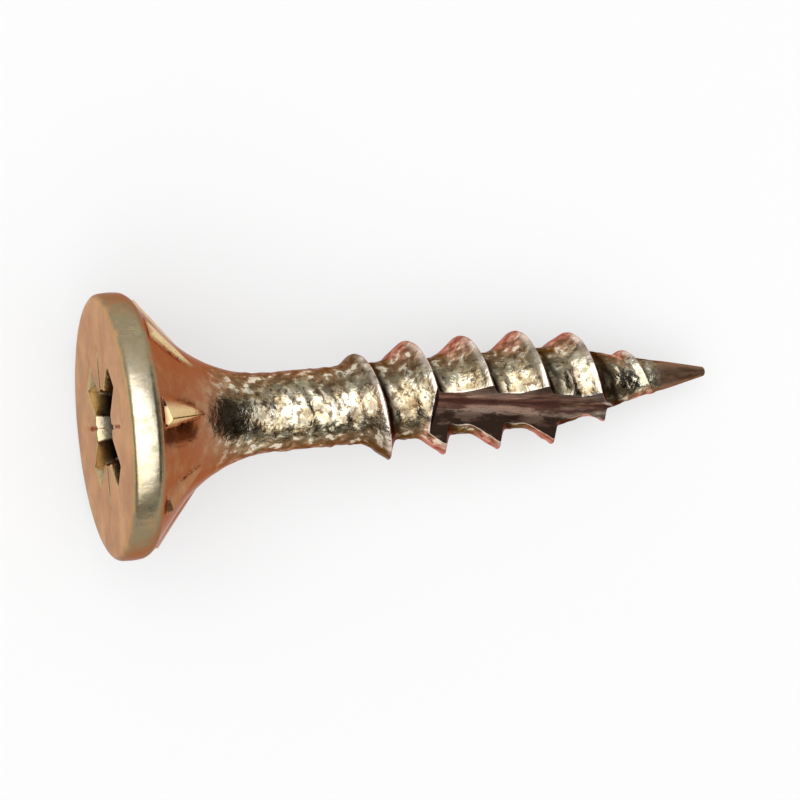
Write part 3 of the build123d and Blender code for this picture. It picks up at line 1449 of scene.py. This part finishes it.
@dataclass
class Screw:
    """The whole screw: head, thread, point and flute, laid down where the frame has it."""

    record: dict
    sizes: ScrewSizes = ScrewSizes()
    bare_from_fade: float = 0.12
    weld_distance: float = 0.002
    straight_angle: float = 12.0
    sharp_angle: float = 42.0

    NODE = "screw"

    def __post_init__(self) -> None:
        """Makes the thread and the flute from the screw's sizes."""
        self.thread = Thread(self.sizes)
        self.flute = Flute(self.sizes)

    def place(self) -> Matrix:
        """Place of the standing screw in the frame, read from the record's mounts.

        Returns:
            The move, turn and scale that lay the screw down.
        """
        mounts = {m["name"]: m for m in self.record["mounts"]}
        axis = Vector(mounts["wood_thread"]["axis"])
        side = Vector((0.0, 1.0, 0.0))
        turn = Matrix((side.cross(axis), side, axis)).transposed().to_4x4()
        return Matrix.Translation(mounts["drive_recess"]["pos_m"]) @ turn @ Matrix.Scale(MM, 4)

    def shell(self) -> Shell:
        """Head, thread and point as one closed shell, standing on its axis.

        Returns:
            The shell.
        """
        shell = Shell()
        end = self.sizes.fade_end + self.bare_from_fade
        neck = Head(self.sizes).build(shell, self.thread.columns)
        last = self.thread.build(shell, neck, end)
        Point(self.sizes).build(shell, last, end)
        return shell

    def cut(self, body: bpy.types.Object) -> None:
        """Cuts the flute out of the body and gives its walls their own finish.

        Args:
            body: The closed screw, still standing and in millimetres.
        """
        cutter = self.flute.cutter()
        for material in body.data.materials:
            cutter.data.materials.append(material)
        for face in cutter.data.polygons:
            face.material_index = Slot.MILLED.value
        self.recalculate(cutter.data)
        modifier = body.modifiers.new("flute", "BOOLEAN")
        modifier.operation, modifier.solver, modifier.object = "DIFFERENCE", "EXACT", cutter
        ready = body.evaluated_get(bpy.context.evaluated_depsgraph_get())
        carved = bpy.data.meshes.new_from_object(ready)
        body.modifiers.remove(modifier)
        self.weld(carved)
        whole, body.data = body.data, carved
        bpy.data.meshes.remove(whole)
        bpy.data.objects.remove(cutter)

    def weld(self, mesh: bpy.types.Mesh) -> None:
        """Joins the points that the cut left in one place and takes out those it left on an edge.

        Args:
            mesh: The carved screw, which is changed in place.
        """
        work = bmesh.new()
        work.from_mesh(mesh)
        bmesh.ops.remove_doubles(work, verts=work.verts, dist=self.weld_distance)
        bmesh.ops.dissolve_degenerate(work, edges=work.edges, dist=self.weld_distance)
        straight = math.radians(self.straight_angle)
        between = [vert for vert in work.verts if len(vert.link_edges) == 2]
        spare = [vert for vert in between if vert.calc_edge_angle(0.0) < straight]
        bmesh.ops.dissolve_verts(work, verts=spare)
        work.to_mesh(mesh)
        work.free()

    @staticmethod
    def recalculate(mesh: bpy.types.Mesh) -> None:
        """Turns every face of a mesh outwards.

        Args:
            mesh: The mesh, which is changed in place.
        """
        work = bmesh.new()
        work.from_mesh(mesh)
        bmesh.ops.recalc_face_normals(work, faces=work.faces)
        work.to_mesh(mesh)
        work.free()

    def mark(self, mesh: bpy.types.Mesh) -> None:
        """Stores the finishes' marks on the mesh's points.

        Args:
            mesh: The screw's mesh, still standing and in millimetres.
        """
        points = np.empty(len(mesh.vertices) * 3)
        mesh.vertices.foreach_get("co", points)
        marks = Marks().shares(points.reshape(-1, 3), self.thread, self.flute)
        for name, share in marks.items():
            attribute = mesh.attributes.new(name, "FLOAT", "POINT")
            attribute.data.foreach_set("value", share.astype(np.float32))

    def build(self) -> bpy.types.Object:
        """Makes the screw, cuts it, marks it for its finishes and lays it down.

        Returns:
            The screw's object.
        """
        shell = self.shell()
        mesh = bpy.data.meshes.new("plated_screw")
        points = Unevenness().apply(np.concatenate(shell.points), self.thread)
        mesh.from_pydata(points.tolist(), [], [tuple(int(v) for v in face) for face in shell.faces])
        self.recalculate(mesh)
        mesh.materials.append(PlatedSteel().make())
        mesh.materials.append(MilledSteel().make())
        body = bpy.data.objects.new("plated_screw", mesh)
        bpy.context.scene.collection.objects.link(body)
        self.cut(body)
        self.mark(body.data)
        body.data.transform(self.place())
        body.data.shade_smooth()
        body.data.set_sharp_from_angle(angle=math.radians(self.sharp_angle))
        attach(body, "root")
        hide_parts(self.NODE)
        return body


@dataclass(frozen=True)
class Studio:
    """Pale floor, soft dome and the camera, in metres and degrees."""

    floor_half: float = 2.0
    floor_colour: Colour = (0.38, 0.38, 0.38)
    floor_roughness: float = 0.8
    floor_shine: float = 0.1
    floor_glow: float = 0.54
    white: Colour = (1.0, 1.0, 1.0)
    lamp_direction: Direction = (-0.10, -0.20, 0.974)
    lamp: Step = Step("lampward", 0.60, 0.70, 0.0, 1.55)
    side: Step = Step("across", -0.3, 0.3, 0.18, 0.50)
    card_direction: Direction = (0.90, -0.06, 0.43)
    card: Step = Step("cardward", 0.72, 0.90, 1.0, 0.12)
    camera_distance: float = 0.166
    camera_behind: float = 0.0164
    aim_share: float = 0.75
    frame_width: float = 0.0246
    axis_rise: float = 5.4
    sensor_width: float = 36.0
    clip: Range = (0.01, 10.0)

    def floor(self) -> bpy.types.Object:
        """Lays the floor under the screw.

        Returns:
            The floor's object.
        """
        half = self.floor_half
        corners = [(-half, -half, 0), (half, -half, 0), (half, half, 0), (-half, half, 0)]
        mesh = bpy.data.meshes.new("studio_floor")
        mesh.from_pydata(corners, [], [(0, 1, 2, 3)])
        material = bpy.data.materials.new("studio_floor")
        inputs = {
            "Base Color": self.floor_colour,
            "Roughness": self.floor_roughness,
            "Specular IOR Level": self.floor_shine,
            "Emission Color": self.white,
            "Emission Strength": self.floor_glow,
        }
        NodeTree(material).surface(inputs)
        mesh.materials.append(material)
        floor = bpy.data.objects.new("studio_floor", mesh)
        bpy.context.scene.collection.objects.link(floor)
        floor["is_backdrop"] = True
        return floor

    def sky(self) -> None:
        """Surrounds the scene with a soft dome: a bright patch overhead and a dark card off the tip."""
        world = bpy.data.worlds.new("studio_dome")
        t = NodeTree(world)
        place = t.add("ShaderNodeTexCoord", {}).outputs["Generated"]
        fields = {
            "across": t.add("ShaderNodeSeparateXYZ", {0: place}).outputs["Y"],
            "lampward": t.facing(place, self.lamp_direction),
            "cardward": t.facing(place, self.card_direction),
        }
        lamp, side, card = (t.step(fields, kind) for kind in (self.lamp, self.side, self.card))
        level = t.math("ADD", lamp, t.times(side, card))
        shader = t.add("ShaderNodeBackground", {"Color": self.white, "Strength": level})
        t.add("ShaderNodeOutputWorld", {"Surface": shader.outputs[0]})
        bpy.context.scene.world = world

    def camera(self) -> bpy.types.Object:
        """Hangs the camera over the screw, a little behind its head.

        Returns:
            The camera's object.
        """
        low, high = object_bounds()
        middle = Vector(((low[0] + high[0]) / 2, 0.0, (low[2] + high[2]) / 2 * self.aim_share))
        data = bpy.data.cameras.new("studio_camera")
        camera = bpy.data.objects.new("studio_camera", data)
        bpy.context.scene.collection.objects.link(camera)
        camera.location = (-self.camera_behind, 0.0, self.camera_distance)
        toward = middle - camera.location
        back = -toward.normalized()
        right = Vector((0.0, 1.0, 0.0)).cross(back).normalized()
        aim = Matrix((right, back.cross(right), back)).transposed().to_4x4()
        spin = Matrix.Rotation(math.radians(-self.axis_rise), 4, "Z")
        camera.matrix_world = Matrix.Translation(camera.location) @ aim @ spin
        data.sensor_width = self.sensor_width
        data.lens = data.sensor_width * toward.length / self.frame_width
        data.clip_start, data.clip_end = self.clip
        bpy.context.scene.camera = camera
        return camera

    def build(self) -> None:
        """Sets the stage up and fixes the colour management."""
        self.floor()
        self.sky()
        self.camera()
        bpy.context.scene.view_settings.view_transform = "Standard"


def main() -> None:
    """Loads the frame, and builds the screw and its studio."""
    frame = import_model()
    logging.basicConfig(level=logging.INFO, format="%(message)s")
    screw = Screw(frame["record"]).build()
    LOG.info("%s: %d faces", screw.name, len(screw.data.polygons))
    Studio().build()
    LOG.info("studio is set")


if __name__ == "__main__":
    main()
